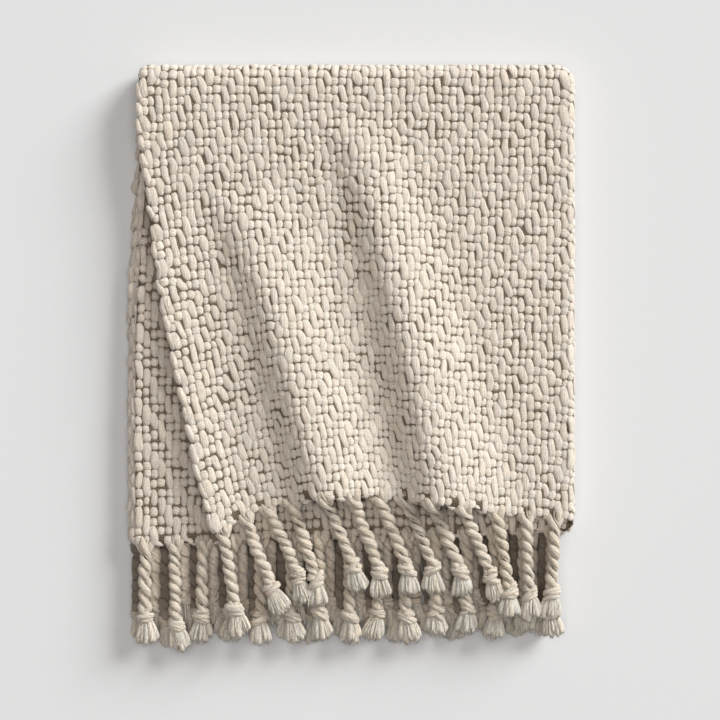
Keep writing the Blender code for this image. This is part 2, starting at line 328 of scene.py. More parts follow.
@dataclass
class YarnBatch:
    """Many closed yarn tubes that become one mesh.

    Each tube has the same number of rings, closed by a point at either end.
    A crowned yarn has a flat top, steep sides and one row of points beneath.
    The mesh carries a UV map along and around the yarns, the attributes
    tone and hue for their colour, and a third attribute of painted shade,
    which darkens the yarns beneath and where they lie deep in the cloth.

    Points lower than PRESSED are drawn up softly, so that none comes closer to
    the surface below the throw than SURFACE, both in millimetres.
    """

    name: str
    sides: int = 8
    # Painted shade on the lower sides of each tube, towards the finish's shade colour.
    under: float = 0.35
    crown: bool = False
    points: list[Array] = field(default_factory=list)
    loops: list[Array] = field(default_factory=list)
    starts: list[Array] = field(default_factory=list)
    maps: list[Array] = field(default_factory=list)
    marks: dict[str, list[Array]] = field(default_factory=dict)
    count: int = 0
    loop_count: int = 0

    SURFACE: ClassVar[float] = 0.2
    PRESSED: ClassVar[float] = 2.0
    CROWN_POWER: ClassVar[float] = 0.7
    # Painted shade down the steep sides of a crowned yarn, for the dark lines where yarns meet.
    CROWN_SHADE: ClassVar[tuple[float, float]] = (1.45, 1.55)
    TONE_SPREAD: ClassVar[float] = 0.5
    MAP_SHIFT: ClassVar[float] = 9.0

    def add(self, centre: Array, up: Array, half_width: Array, half_height: Array,
            rng: np.random.Generator, tone: float = 0.0, sides: int | None = None,
            shade_amount: Array | None = None, hues: tuple[float, float] = (0.0, 0.75)) -> None:
        """Sweep tubes along rows of ring centres.

        Args:
            centre: Ring centres in millimetres, tubes by rings by three.
            up: Direction of the height at each ring, shaped as centre.
            half_width: Half widths, tubes by rings, zero at both ends.
            half_height: Half heights, tubes by rings, zero at both ends.
            rng: Source of each yarn's own tone and hue.
            tone: Shift of the tone of these yarns.
            sides: Faces round a tube, or the batch's own number.
            shade_amount: Painted shade of each ring, from 0 to 1, more where it lies deep in the
                cloth.
            hues: Range of the yarns' hues; cut ends lie near 1.
        """
        sides = sides or self.sides
        tubes, rings = centre.shape[:2]
        tangent = unit(np.gradient(centre, axis=1))
        side = unit(np.cross(tangent, up))
        rise = unit(np.cross(side, tangent))
        angle, lifted = self._section(sides)
        ring_side = side[:, 1:-1, None] * (np.cos(angle)[:, None])
        ring_rise = rise[:, 1:-1, None] * (lifted[:, None])
        body = centre[:, 1:-1, None] + ring_side * half_width[:, 1:-1, None, None]
        body = body + ring_rise * half_height[:, 1:-1, None, None]
        body = body.reshape(tubes, -1, 3)
        points = np.concatenate([centre[:, :1], body, centre[:, -1:]], axis=1)
        per_tube = points.shape[1]
        corners, starts, uv = self._tube_faces(rings - 2, sides)
        if self._volume(points[0], corners, starts) < 0:
            corners, uv = self._flip(corners, starts), self._flip(uv, starts)
        offset = self.count + np.arange(tubes)[:, None] * per_tube
        self.loops.append((offset + corners[None]).ravel())
        per_loops = len(corners)
        first_loop = self.loop_count + np.arange(tubes)[:, None] * per_loops
        self.starts.append((first_loop + starts).ravel())
        length = np.linalg.norm(np.diff(centre, axis=1), axis=-1).sum(1)
        girth = math.pi * (half_width.max(1) + half_height.max(1))
        scale = np.stack([length, girth], -1)[:, None] * MM
        shift = rng.uniform(0, self.MAP_SHIFT, (tubes, 1, 2))
        self.maps.append((uv[None] * scale + shift).reshape(-1, 2))
        self.points.append(points.reshape(-1, 3))
        self._mark("tone", np.repeat(rng.normal(tone, self.TONE_SPREAD, tubes), per_tube))
        self._mark("hue", np.repeat(rng.uniform(*hues, tubes), per_tube))
        # Painted shade of each point: the rings' own share, plus more on the lower sides.
        shade_level = np.broadcast_to(0.0 if shade_amount is None else shade_amount, (tubes, rings))
        self._mark("painted_shade", self._shaded(shade_level, lifted).ravel())
        self.count += tubes * per_tube
        self.loop_count += tubes * per_loops

    def _section(self, sides: int) -> tuple[Array, Array]:
        """Angles of the points round a tube, and their heights.

        Args:
            sides: Faces round the tube.

        Returns:
            Angles from the tube's side, and heights from -1 to 1.
        """
        if self.crown:
            angle = np.append(np.linspace(0, math.pi, sides - 1), 1.5 * math.pi)
            power = self.CROWN_POWER
        else:
            angle = np.arange(sides) / sides * 2 * math.pi
            power = 1.0
        height = np.sin(angle)
        return angle, np.sign(height) * np.abs(height) ** power

    def _shaded(self, shade_level: Array, lifted: Array) -> Array:
        """Painted shade of each point of some tubes: more of it beneath.

        Args:
            shade_level: Painted shade of each ring, tubes by rings.
            lifted: Heights of the points round a ring, from -1 to 1.

        Returns:
            A painted shade for each point, tubes by points.
        """
        if self.crown:
            base, slope = self.CROWN_SHADE
            beneath = base - slope * lifted
        else:
            beneath = -lifted
        # Painted shade on the lower side of every ring, weighted by under.
        low = np.clip(np.tile(beneath, shade_level.shape[1] - 2), 0, 1)[None]
        body = np.repeat(shade_level[:, 1:-1], len(lifted), axis=1) + self.under * low
        return np.clip(np.concatenate([shade_level[:, :1], body, shade_level[:, -1:]], 1), 0, 1)

    def _mark(self, key: str, values: Array) -> None:
        """Keep the values of one attribute of the newest points."""
        self.marks.setdefault(key, []).append(values)

    @staticmethod
    def _flip(values: Array, starts: Array) -> Array:
        """The same corners with each face's order reversed.

        Args:
            values: One value or UV for each corner.
            starts: First corner of each face.

        Returns:
            The values in their new order.
        """
        ends = np.append(starts[1:], len(values))
        return np.concatenate([values[a:b][::-1] for a, b in zip(starts, ends)])

    @staticmethod
    def _volume(points: Array, corners: Array, starts: Array) -> float:
        """Signed volume of one tube, times six.

        Args:
            points: The tube's points.
            corners: Point index of each corner.
            starts: First corner of each face.

        Returns:
            A number above zero where the faces look outward.
        """
        ends = np.append(starts[1:], len(corners))
        middle = points.mean(0)
        total = 0.0
        for a, b in zip(starts, ends):
            first, *rest = points[corners[a:b]] - middle
            for second, third in zip(rest, rest[1:]):
                total += float(np.dot(first, np.cross(second, third)))
        return total

    @staticmethod
    def _tube_faces(rings: int, sides: int) -> tuple[Array, Array, Array]:
        """Faces of a tube whose ends are points.

        Args:
            rings: Number of rings between the two end points.
            sides: Faces round the tube.

        Returns:
            Corner indices, first corner of each face, and a UV per corner.
        """
        corners, starts, uv = [], [], []
        last = 1 + rings * sides
        reach = rings + 1
        for k in range(sides):
            n = (k + 1) % sides
            near, far = k / sides, (k + 1) / sides
            starts.append(len(corners))
            corners += [0, 1 + k, 1 + n]
            uv += [(0, near), (1 / reach, near), (1 / reach, far)]
            for ring in range(rings - 1):
                a = 1 + ring * sides
                b = a + sides
                starts.append(len(corners))
                corners += [a + k, b + k, b + n, a + n]
                low, high = (ring + 1) / reach, (ring + 2) / reach
                uv += [(low, near), (high, near), (high, far), (low, far)]
            a = 1 + (rings - 1) * sides
            starts.append(len(corners))
            corners += [a + k, last, a + n]
            uv += [(rings / reach, near), (1, near), (rings / reach, far)]
        return np.array(corners), np.array(starts), np.array(uv)

    def _rest(self, points: Array) -> Array:
        """Press points near the surface that the throw lies on softly up.

        Args:
            points: Points in millimetres, which are changed in place.

        Returns:
            The same points.
        """
        room = self.PRESSED - self.SURFACE
        pressed = self.SURFACE + room * np.exp((points[:, 2] - self.PRESSED) / room)
        points[:, 2] = np.where(points[:, 2] < self.PRESSED, pressed, points[:, 2])
        return points

    def build(self, material: bpy.types.Material) -> bpy.types.Object:
        """Make the batch's mesh object in its finish.

        Args:
            material: Finish of all the yarns.

        Returns:
            The new object, linked to the scene.
        """
        mesh = bpy.data.meshes.new(self.name)
        points = self._rest(np.concatenate(self.points)) * MM
        loops = np.concatenate(self.loops)
        starts = np.concatenate(self.starts)
        mesh.vertices.add(len(points))
        mesh.vertices.foreach_set("co", points.astype(np.float32).ravel())
        mesh.loops.add(len(loops))
        mesh.loops.foreach_set("vertex_index", loops.astype(np.int32))
        mesh.polygons.add(len(starts))
        mesh.polygons.foreach_set("loop_start", starts.astype(np.int32))
        mesh.polygons.foreach_set("use_smooth", np.ones(len(starts), dtype=bool))
        layer = mesh.uv_layers.new(name="Yarn")
        layer.data.foreach_set("uv", np.concatenate(self.maps).astype(np.float32).ravel())
        for key, values in self.marks.items():
            mark = mesh.attributes.new(key, "FLOAT", "POINT")
            mark.data.foreach_set("value", np.concatenate(values).astype(np.float32))
        mesh.update()
        mesh.validate()
        mesh.materials.append(material)
        piece = bpy.data.objects.new(self.name, mesh)
        bpy.context.scene.collection.objects.link(piece)
        triangles = int(len(loops) - 2 * len(starts))
        LOG.info("%s: %d triangles", self.name, triangles)
        return piece


@dataclass
class Unevenness:
    """Smooth random shifts of the weave, so that no two yarns lie alike."""

    columns: int
    rows: int
    seed: int
    across: float = 0.15
    along: float = 0.16
    table: Array = field(init=False, repr=False)

    MARGIN: ClassVar[int] = 2

    def __post_init__(self) -> None:
        """Draw a shift for each crossing, and for a margin round the cloth."""
        rng = np.random.default_rng(self.seed)
        shape = (self.columns + 3 * self.MARGIN, self.rows + 3 * self.MARGIN, 2)
        self.table = rng.normal(0, 1, shape)

    def shift(self, column: Array, row: Array) -> tuple[Array, Array]:
        """Columns and rows moved by the shifts at their places.

        Args:
            column: Column numbers.
            row: Row numbers.

        Returns:
            The uneven column and row numbers.
        """
        column, row = np.broadcast_arrays(np.asarray(column, float), np.asarray(row, float))
        c = np.clip(column + self.MARGIN, 0, self.columns + 2 * self.MARGIN)
        r = np.clip(row + self.MARGIN, 0, self.rows + 2 * self.MARGIN)
        c0, r0 = np.floor(c).astype(int), np.floor(r).astype(int)
        fc, fr = (c - c0)[..., None], (r - r0)[..., None]
        near = self.table[c0, r0] * (1 - fc) + self.table[c0 + 1, r0] * fc
        far = self.table[c0, r0 + 1] * (1 - fc) + self.table[c0 + 1, r0 + 1] * fc
        moved = near * (1 - fr) + far * fr
        return column + self.across * moved[..., 0], row + self.along * moved[..., 1]


@dataclass(frozen=True)
class Bulge:
    """Shape of one kind of raised yarn, in millimetres, and its unevenness.

    Attributes:
        half_width: Half of the yarn's width.
        half_height: Half of its height.
        height: Height of its middle over the sheet's.
        arch: Power of its arch from end to end.
        blunt: Power of its taper from end to end.
        lift_spread: Spread of the yarns' heights.
        spread: Spread of the yarns' thickness, as a share.
        limits: Least and largest thickness, as shares.
        slub: Depth of the thick and thin stretches along a yarn, as a share.
    """

    half_width: float
    half_height: float
    height: float
    arch: float
    blunt: float
    lift_spread: float
    spread: float
    limits: tuple[float, float]
    slub: float = 0.0


@dataclass
class Weave:
    """The open twill: long upright floats, pairs of short knobs, dark threads.

    Sizes are in millimetres, and lengths along the cloth in columns or rows.
    """

    sheet: FoldedSheet
    rng: np.random.Generator
    uneven: Unevenness
    repeat: int = 4
    float_rows: float = 2.68
    float_tilt: float = 0.33
    float_bulge: Bulge = Bulge(5.4, 2.6, 2.6, 2.6, 3.8, 0.35, 0.09, (0.86, 1.25), 0.12)
    edge_widening: float = 1.12
    knob_columns: float = 1.15
    knob_bulge: Bulge = Bulge(6.2, 2.8, 2.1, 2.2, 3.0, 0.3, 0.06, (0.88, 1.15))
    least_thick: float = 0.8
    end_depth: float = 0.1
    # Painted shade at a yarn's ends, where it dips under the cross yarns.
    end_painted_shade: float = 0.55
    end_power: float = 6.0
    thread_radius: float = 0.75
    thread_height: float = 2.9
    thread_sag: float = 0.9
    thread_reach: float = 0.72
    # Painted shade of the inner layers: a little on all their yarns, a painted shadow just left of
    # the top layer's selvedge, and more under the top layer, where it shows between the fringe
    # roots.
    inner_painted_shade: float = 0.1
    tuck_painted_shade: float = 0.8
    tuck_reach: float = 9.0
    tuck_margin: float = 4.0
    roof_painted_shade: float = 0.2
    roof_reach: float = 22.0
    edge_rows: float = 2.35
    edge_lean: float = 0.24
    edge_half_width: float = 5.0
    edge_half_height: float = 4.0
    edge_bow: float = 0.1
    edge_rise: float = 2.0
    edge_sink: float = 0.6
    bar_reach: float = 0.85
    bar_inset: float = 0.12
    bar_half_width: float = 4.0
    bar_half_height: float = 2.8
    bar_rise: float = 1.7
    bar_sink: float = 0.8
    arch: float = 2.4
    blunt: float = 3.0

    def cells(self, columns: tuple[int, int], rows: tuple[int, int]) -> tuple[Array, Array, Array]:
        """Column, row and twill phase of every crossing in a block.

        Args:
            columns: First column and the column after the last.
            rows: First row and the row after the last.

        Returns:
            Three arrays with a value for each crossing.
        """
        column, row = np.meshgrid(np.arange(*columns), np.arange(*rows), indexing="ij")
        phase = (row - column) % self.repeat
        return column.ravel().astype(float), row.ravel().astype(float), phase.ravel()

    def lay(self, column: Array, row: Array, height: Array, face: Face) -> tuple[Array, Array]:
        """Points over the cloth, and the direction away from it.

        Args:
            column: Column numbers.
            row: Row numbers.
            height: Heights over the middle of the sheet.
            face: The face of the cloth that the points lie on.

        Returns:
            Points and outward directions.
        """
        u, v = self.uneven.shift(column, row)
        up = self.sheet.normal(u, v) * face.value
        return self.sheet.place(u, v) + up * height[..., None], up

    def inner_shade(self, centre: Array, face: Face) -> Array:
        """Painted shade of the yarns of an inner face: most as a painted shadow at the top layer's
        selvedge.

        Args:
            centre: Ring centres of the yarns.
            face: Face of the cloth.

        Returns:
            A painted shade for each ring.
        """
        if face is Face.OUT:
            return np.zeros(centre.shape[:2])
        sheet = self.sheet
        way = sheet.turn_y - sheet.top_outer_hem[0]
        down = np.clip((sheet.turn_y - centre[..., 1]) / way, 0, 1)
        clear = sheet.top_left(down) - self.tuck_margin - centre[..., 0]
        reach = np.where(clear > 0, self.tuck_reach, self.roof_reach)
        near = self.tuck_painted_shade * np.exp(-(clear / reach) ** 2)
        return self.inner_painted_shade + np.where(clear > 0, near, np.maximum(near, self.roof_painted_shade))

    def floats(self, batch: YarnBatch, column: Array, row: Array, face: Face,
               rings: int = 8, flat: float = 1.0) -> None:
        """Long upright floats, which start at the given crossings.

        Args:
            batch: The batch that they go to.
            column: Column of each float.
            row: First row of each float.
            face: Face of the cloth.
            rings: Rings of each float, its end points included.
            flat: Share of the height that the floats keep.
        """
        count = len(column)
        if not count:
            return
        t = np.linspace(0, 1, rings)[None]
        s = 2 * t - 1
        lean = -self.float_tilt * (1 + self.vary(count, 0, 0.35)) * face.value
        span = self.float_rows * self.vary(count, 1, 0.05)
        bend = self.vary(count, 0.05, 0.05) * face.value
        u = column[:, None] + 0.5 + lean * s + bend * np.sin(math.pi * s)
        v = row[:, None] + 1 + 0.5 * span * s
        widen = np.where(column[:, None] < 1, self.edge_widening, 1.0)
        self.bulge(batch, (u, v, t), self.float_bulge, face, flat, widen)

    def knobs(self, batch: YarnBatch, column: Array, row: Array, face: Face,
              rings: int = 7, flat: float = 1.0) -> None:
        """Short knobs, where a cross yarn shows over one column.

        Args:
            batch: The batch that they go to.
            column: Column of each knob.
            row: Row of each knob.
            face: Face of the cloth.
            rings: Rings of each knob, its end points included.
            flat: Share of the height that the knobs keep.
        """
        count = len(column)
        if not count:
            return
        t = np.linspace(0, 1, rings)[None]
        s = 2 * t - 1
        span = self.knob_columns * self.vary(count, 1, 0.05)
        lean = self.vary(count, -0.05, 0.07) * face.value
        u = column[:, None] + 0.5 + 0.5 * span * s
        v = row[:, None] + 0.5 + lean * s
        self.bulge(batch, (u, v, t), self.knob_bulge, face, flat)

    def vary(self, count: int, middle: float, spread: float) -> Array:
        """One random number for each of some yarns, as a column."""
        return self.rng.normal(middle, spread, (count, 1))

    def bulge(self, batch: YarnBatch, run: tuple[Array, Array, Array], shape: Bulge,
              face: Face, flat: float, widen: Array | float = 1.0) -> None:
        """Raise arched yarns over the cloth along their columns and rows.

        Args:
            batch: The batch that they go to.
            run: Column and row numbers of the rings, and shares of the length.
            shape: Shape of the yarns.
            face: Face of the cloth.
            flat: Share of the height that the yarns keep.
            widen: Shares by which single yarns are thicker.
        """
        column, row, share = run
        count = len(column)
        s = 2 * share - 1
        arch = 1 - np.abs(s) ** shape.arch
        height = (self.end_depth + (shape.height - self.end_depth) * arch) * flat
        height = height + self.vary(count, 0, shape.lift_spread) * flat
        centre, up = self.lay(column, row, height, face)
        fat = self.vary(count, 1, shape.spread).clip(*shape.limits) * widen
        taper = rounded(s, shape.blunt)
        wide = shape.half_width * fat
        if shape.slub:
            turns = self.rng.uniform(0.5, 1.1, (count, 1))
            first = self.rng.uniform(0, 1, (count, 1))
            wide = wide * (1 + shape.slub * np.sin(2 * math.pi * (share * turns + first)))
        high = shape.half_height * np.sqrt(fat) * taper * max(flat, self.least_thick)
        # Painted shade from the inner layers and from the yarn's ends.
        batch.add(centre, up, wide * taper, high, self.rng,
                  shade_amount=self.inner_shade(centre, face) + self.end_shade(s))

    def end_shade(self, place: Array) -> Array:
        """Painted shade of a yarn towards its ends, which lie at -1 and 1."""
        return self.end_painted_shade * np.abs(place) ** self.end_power

    def block(self, batch: YarnBatch, columns: tuple[int, int], rows: tuple[int, int],
              face: Face, detail: int = 8, flat: float = 1.0) -> None:
        """Weave a block of the cloth: its floats and its knobs.

        Args:
            batch: The batch that the yarns go to.
            columns: First column and the column after the last.
            rows: First row and the row after the last.
            face: Face of the cloth.
            detail: Rings of a float.
            flat: Share of the height that the yarns keep.
        """
        column, row, phase = self.cells(columns, rows)
        starts = phase == 0
        self.floats(batch, column[starts], row[starts], face, detail, flat)
        knobs = phase >= 2
        self.knobs(batch, column[knobs], row[knobs], face, detail - 1, flat)

    def threads(self, batch: YarnBatch, columns: tuple[int, int], rows: tuple[int, int],
                face: Face) -> None:
        """Fine dark threads between the stacked knobs of a block.

        Args:
            batch: The batch that they go to.
            columns: First column and the column after the last.
            rows: First row and the row after the last.
            face: Face of the cloth.
        """
        column, row, phase = self.cells(columns, rows)
        stacked = phase == 3
        column, row = column[stacked, None], row[stacked, None]
        count = len(column)
        s = np.linspace(-1, 1, 6)[None]
        u = column + 0.5 + self.thread_reach * s + self.vary(count, 0, 0.08)
        v = row + self.vary(count, 0, 0.05) + self.vary(count, 0, 0.07) * s
        height = self.thread_height - self.thread_sag * s ** 2 + self.vary(count, 0, 0.25)
        centre, up = self.lay(u, v, height, face)
        size = self.thread_radius * self.rng.uniform(0.7, 1.3, (count, 1)) * rounded(s, 2)
        batch.add(centre, up, size, size, self.rng, sides=5)

    def selvedge(self, batch: YarnBatch, edge: float, rows: tuple[int, int],
                 outward: float) -> None:
        """A chain of long leaning loops, where the cross yarns turn round a selvedge.

        Args:
            batch: The batch that they go to.
            edge: Column number of the selvedge.
            rows: First row and the row after the last.
            outward: -1 where the edge is at low column numbers, else 1.
        """
        row = np.arange(rows[0], rows[1], 2)[:, None].astype(float)
        count = len(row)
        s = np.linspace(-1, 1, 9)[None]
        lean = outward * self.edge_lean * (1 + self.vary(count, 0, 0.3))
        u = edge + lean * s + outward * self.edge_bow * np.cos(0.5 * math.pi * s)
        span = self.edge_rows * self.vary(count, 1, 0.06)
        v = row + 1 + 0.5 * span * s + self.vary(count, 0, 0.1)
        height = self.edge_rise * (1 - np.abs(s) ** self.arch) - self.edge_sink
        centre, up = self.lay(u, v, height, Face.OUT)
        taper = rounded(s, self.blunt)
        fat = self.vary(count, 1, 0.1)
        batch.add(centre, up, self.edge_half_width * fat * taper,
                  self.edge_half_height * fat * taper, self.rng, shade_amount=self.end_shade(s))

    def hem_bars(self, batch: YarnBatch, hem: float, columns: tuple[int, int],
                 inward: float) -> None:
        """Lying bars of the last cross yarn along a hem.

        Args:
            batch: The batch that they go to.
            hem: Row number of the hem.
            columns: First column and the column after the last.
            inward: 1 where the cloth has higher row numbers, else -1.
        """
        column = np.arange(columns[0], columns[1] - 1, 2)[:, None].astype(float)
        count = len(column)
        t = np.linspace(0, 1, 9)[None]
        s = 2 * t - 1
        for face in Face:
            u = column + 1 + self.bar_reach * s + self.vary(count, 0, 0.2)
            v = hem + inward * (self.bar_inset + self.vary(count, 0, 0.1))
            height = self.bar_rise * (1 - np.abs(s) ** self.arch) - self.bar_sink
            centre, up = self.lay(u, v, height, face)
            taper = rounded(s, self.blunt)
            fat = self.vary(count, 1, 0.1)
            batch.add(centre, up, self.bar_half_width * fat * taper,
                      self.bar_half_height * fat * taper, self.rng)


@dataclass(frozen=True)
class Lie:
    """Heights of a fringe row's rope, knot and tuft, and its level stretch."""

    level_run: float
    rope: float
    knot: float
    tuft: float


@dataclass(frozen=True)
class Fall:
    """Where a strand starts along X, and its drift to the knot and to the tip."""

    x: float
    to_knot: float
    to_tip: float


@dataclass
class FringeRow:
    """The strands of one hem: twisted ropes with a knot and a cut tuft.

    Sizes are in millimetres. WRAPS gives the place of each of the knot's wraps
    along the strand, and its share of the knot's radius.
    """

    name: str
    node: str
    sheet: FoldedSheet
    top: bool
    outer: bool
    lie: Lie
    strands: tuple[Fall, ...]
    rng: np.random.Generator
    rope_end: float = 97.0
    knot_middle: float = 102.5
    tip: float = 141.0
    # Painted shade of a row that lies under the rows above it.
    shade: float = 0.0
    rope_offset: float = 4.5
    rope_radius: float = 4.35
    rope_turn: float = 29.0
    rope_start: float = -11.0
    rope_rings: int = 46
    rope_wide: float = 1.0
    ply_wide: float = 1.0
    lobe: float = 0.05
    long_slub: float = 0.21
    short_slub: float = 0.14
    binder_size: float = 1.1
    # Painted shade of the fine yarns in the rope's creases.
    binder_painted_shade: float = 0.3
    gather_size: float = 5.0
    gather_spread: tuple[float, float] = (3.6, 7.5)
    wrap_radius: float = 9.6
    wrap_size: float = 2.9
    knot_flat: float = 0.56
    core_half: float = 10.0
    core_size: float = 7.4
    locks: int = 44
    lock_size: float = 0.9
    lock_flare: tuple[float, float] = (4.6, 7.4)
    broad_locks: int = 12
    broad_size: tuple[float, float] = (3.9, 2.5)
    broad_fan: tuple[float, float] = (3.4, 9.2)
    end_tone: float = 0.3
    sway: float = 6.0
    reach_change: float = 9.0

    WRAPS: ClassVar[tuple[tuple[float, float], ...]] = (
        (-7.0, 0.72), (-3.9, 0.93), (-0.7, 1.05), (2.6, 1.0), (5.6, 0.8),
    )

    @classmethod
    def even(cls, first_x: float, count: int, pitch: float = 38.0) -> tuple[Fall, ...]:
        """Evenly spaced strands, each a little off straight.

        Args:
            first_x: Place of the first strand along X.
            count: Number of strands.
            pitch: Distance from strand to strand.

        Returns:
            The strands, from left to right.
        """
        sways = [0.6 * math.sin(2.1 * index) for index in range(count)]
        return tuple(Fall(first_x + k * pitch, sway, 0.5 * sway) for k, sway in enumerate(sways))

    def hem_point(self, x: float) -> Array:
        """Middle of the sheet at this row's hem.

        Args:
            x: A place along X.

        Returns:
            The hem's point nearest to it.
        """
        row = 0.0 if self.top else float(self.sheet.length)
        if self.outer:
            columns = np.linspace(0, self.sheet.columns, 400)
        else:
            columns = np.linspace(self.sheet.width - self.sheet.columns, self.sheet.width, 400)
        points = self.sheet.place(columns, np.full_like(columns, row))
        return points[np.argmin(np.abs(points[:, 0] - x))]

    def line(self, fall: Fall, run: Array) -> Array:
        """Middle of a strand at distances from its root.

        Args:
            fall: The strand.
            run: Distances along it.

        Returns:
            Points, one for each distance.
        """
        root = self.hem_point(fall.x)
        knot = self.rope_end
        drift = np.where(
            run <= knot,
            fall.to_knot * run / knot,
            fall.to_knot + (run - knot) / (self.tip - knot) * (fall.to_tip - fall.to_knot),
        )
        down = math.cos(math.atan(abs(fall.to_knot) / knot))
        lie = self.lie
        start = max(root[2], lie.rope) if lie.level_run else root[2]
        settle = 46 if lie.level_run else 22
        heights = (
            (-20, root[2]),
            (0, root[2]),
            (lie.level_run + 0.1, start),
            (settle, lie.rope),
            (knot - 9, lie.rope),
            (knot, lie.knot),
            (knot + 10, lie.knot),
            (knot + 16, lie.tuft),
            (self.tip, lie.tuft - 1.5),
        )
        z = np.interp(run, *zip(*heights))
        return np.stack([root[0] + drift, root[1] - run * down, z], axis=-1)

    def frame_at(self, fall: Fall, run: Array) -> tuple[Array, Array, Array, Array]:
        """Smooth centre line of a strand with its three directions.

        Args:
            fall: The strand.
            run: Distances from its root.

        Returns:
            Points, and directions along the strand, to its side and up.
        """
        reach = np.linspace(-5, 5, 5)
        middle = np.mean([self.line(fall, run + step) for step in reach], axis=0)
        ahead = np.mean([self.line(fall, run + step + 1) for step in reach], axis=0)
        tangent = unit(ahead - middle)
        side = unit(np.cross(tangent, np.array([0.0, 0.0, 1.0])))
        return middle, tangent, side, np.cross(side, tangent)

    def dim(self, run: Array) -> Array:
        """Painted shade of a lower row along its strands: less at the tips."""
        return self.shade * (1 - 0.9 * ease((run - 84) / 40))

    def rope(self, batch: YarnBatch, fall: Fall) -> None:
        """Two plies that leave the hem side by side and twist down to the knot.

        Args:
            batch: The batch that they go to.
            fall: The strand.
        """
        run = np.linspace(self.rope_start, self.rope_end + 2, self.rope_rings)
        middle, _, side, rise = self.frame_at(fall, run)
        turn_length = self.rope_turn * self.rng.uniform(0.8, 1.16)
        girth = self.rng.normal(1, 0.07)
        first = self.rng.normal(0, 0.5)
        tone = self.rng.normal(0, 0.2)
        wound = 0.5 * (run - 3 + np.hypot(run - 3, 5))
        grown = ease((run - self.rope_start) / 16)
        for half in range(2):
            angle = first + half * math.pi + 2 * math.pi * wound / turn_length
            offset = self.rope_offset * (1.25 - 0.25 * grown)
            centre = middle + offset[:, None] * (self.rope_wide * np.cos(angle)[:, None] * side
                                                 + np.sin(angle)[:, None] * rise)
            slub = 1.1 - 0.12 * grown + self.lobe * np.cos(2 * angle) * grown
            slub = slub + self.long_slub * self.wave(run, 4, 8)
            slub = slub + self.short_slub * self.wave(run, 2, 3)
            close = np.sqrt(np.clip(np.minimum((run - run[0]) / 9, (run[-1] - run) / 5), 0, 1))
            size = (self.rope_radius * girth * slub * close)[None]
            up = unit(centre - middle)[None]
            batch.add(centre[None], up, size * 1.08 * self.ply_wide, size * 0.94, self.rng,
                      tone=tone, shade_amount=self.dim(run)[None])
        if self.binder_size:
            self.binders(batch, fall, first + 2 * math.pi * wound / turn_length)

    def wave(self, run: Array, short: float, long: float) -> Array:
        """A wave along a yarn, whose length and start are drawn by chance."""
        return np.sin(run / self.rng.uniform(short, long) + self.rng.uniform(0, 6))

    def binders(self, batch: YarnBatch, fall: Fall, angle: Array) -> None:
        """Fine yarns that lie in the two creases between the twisted plies.

        Args:
            batch: The batch that they go to.
            fall: The strand.
            angle: Angle of the first ply along the rope.
        """
        run = np.linspace(self.rope_start, self.rope_end + 2, len(angle))
        middle, _, side, rise = self.frame_at(fall, run)
        for half in (0.5, 1.5):
            turned = angle + half * math.pi + self.rng.normal(0, 0.25)
            offset = self.rope_offset * (0.98 + 0.14 * np.sin(run / 3.1 + self.rng.uniform(0, 6)))
            centre = middle + offset[:, None] * (np.cos(turned)[:, None] * side
                                                 + np.sin(turned)[:, None] * rise)
            close = np.sqrt(np.clip(np.minimum(run - run[0], run[-1] - run) / 8, 0, 1))
            size = (self.binder_size * self.rng.uniform(0.8, 1.3) * close)[None]
            batch.add(centre[None], unit(centre - middle)[None], size, size, self.rng,
                      sides=5, shade_amount=self.binder_painted_shade + self.dim(run)[None])

    def gather(self, batch: YarnBatch, fall: Fall) -> None:
        """Column ends beside the strand that draw in to it from the hem.

        Args:
            batch: The batch that they go to.
            fall: The strand.
        """
        t = np.linspace(0, 1, 7)
        middle, _, side, rise = self.frame_at(fall, -10 + 24 * t)
        close, far = self.gather_spread
        for hand in (-1, 1):
            spread = hand * (far * self.rng.uniform(0.8, 1.1) * (1 - ease(t * 1.1)) + close)
            height = 1.2 * np.sin(math.pi * t) - 0.8
            centre = middle + spread[:, None] * side + height[:, None] * rise
            size = self.gather_size * self.rng.normal(1, 0.12) * rounded(2 * t - 1, 3)[None]
            batch.add(centre[None], rise[None], size, 0.85 * size, self.rng,
                      shade_amount=self.shade * np.ones_like(size))

    def knot(self, batch: YarnBatch, fall: Fall) -> None:
        """An overhand knot: tilted wraps of the rope's fine yarns round a core.

        Args:
            batch: The batch that they go to.
            fall: The strand.
        """
        tilt = self.rng.uniform(-0.65, 0.65)
        middle, tangent, side, rise = self.frame_at(fall, np.array([self.knot_middle]))
        t = np.linspace(0, 1, 20)
        for shift, girth in self.WRAPS:
            first = self.rng.uniform(0, 2 * math.pi)
            angle = first + 2 * math.pi * self.rng.uniform(1.0, 1.15) * t
            radius = girth * self.wrap_radius * (0.62 + 0.38 * np.sin(math.pi * t) ** 0.4)
            lean = tilt + self.rng.normal(0, 0.3)
            along = shift + 2.2 * (t - 0.5) + lean * radius * np.cos(angle)
            centre = (middle + along[:, None] * tangent
                      + (radius * np.cos(angle))[:, None] * side
                      + (self.knot_flat * radius * np.sin(angle))[:, None] * rise)
            size = self.wrap_size * self.rng.normal(1.05, 0.24) * rounded(2 * t - 1, 5)[None]
            up = unit(centre - middle)[None]
            batch.add(centre[None], up, size * 1.1, size * 0.85, self.rng, tone=self.end_tone,
                      shade_amount=0.4 * self.shade * np.ones_like(size))
        low, high = self.knot_middle - self.core_half, self.knot_middle + self.core_half
        core, _, _, core_rise = self.frame_at(fall, np.linspace(low, high, 7))
        swell = self.core_size * rounded(np.linspace(-1, 1, 7), 2)[None]
        # The core gets painted shade, as it lies inside the wraps.
        batch.add(core[None], core_rise[None], swell, 0.7 * swell, self.rng,
                  shade_amount=0.5 * np.ones_like(swell))

    def tuft(self, batch: YarnBatch, fall: Fall) -> None:
        """Cut ends of the yarn: fine locks, then a fan of broad soft ones.

        Args:
            batch: The batch that they go to.
            fall: The strand.
        """
        bend = self.fine_tuft(batch, fall)
        self.broad_tuft(batch, fall, bend)

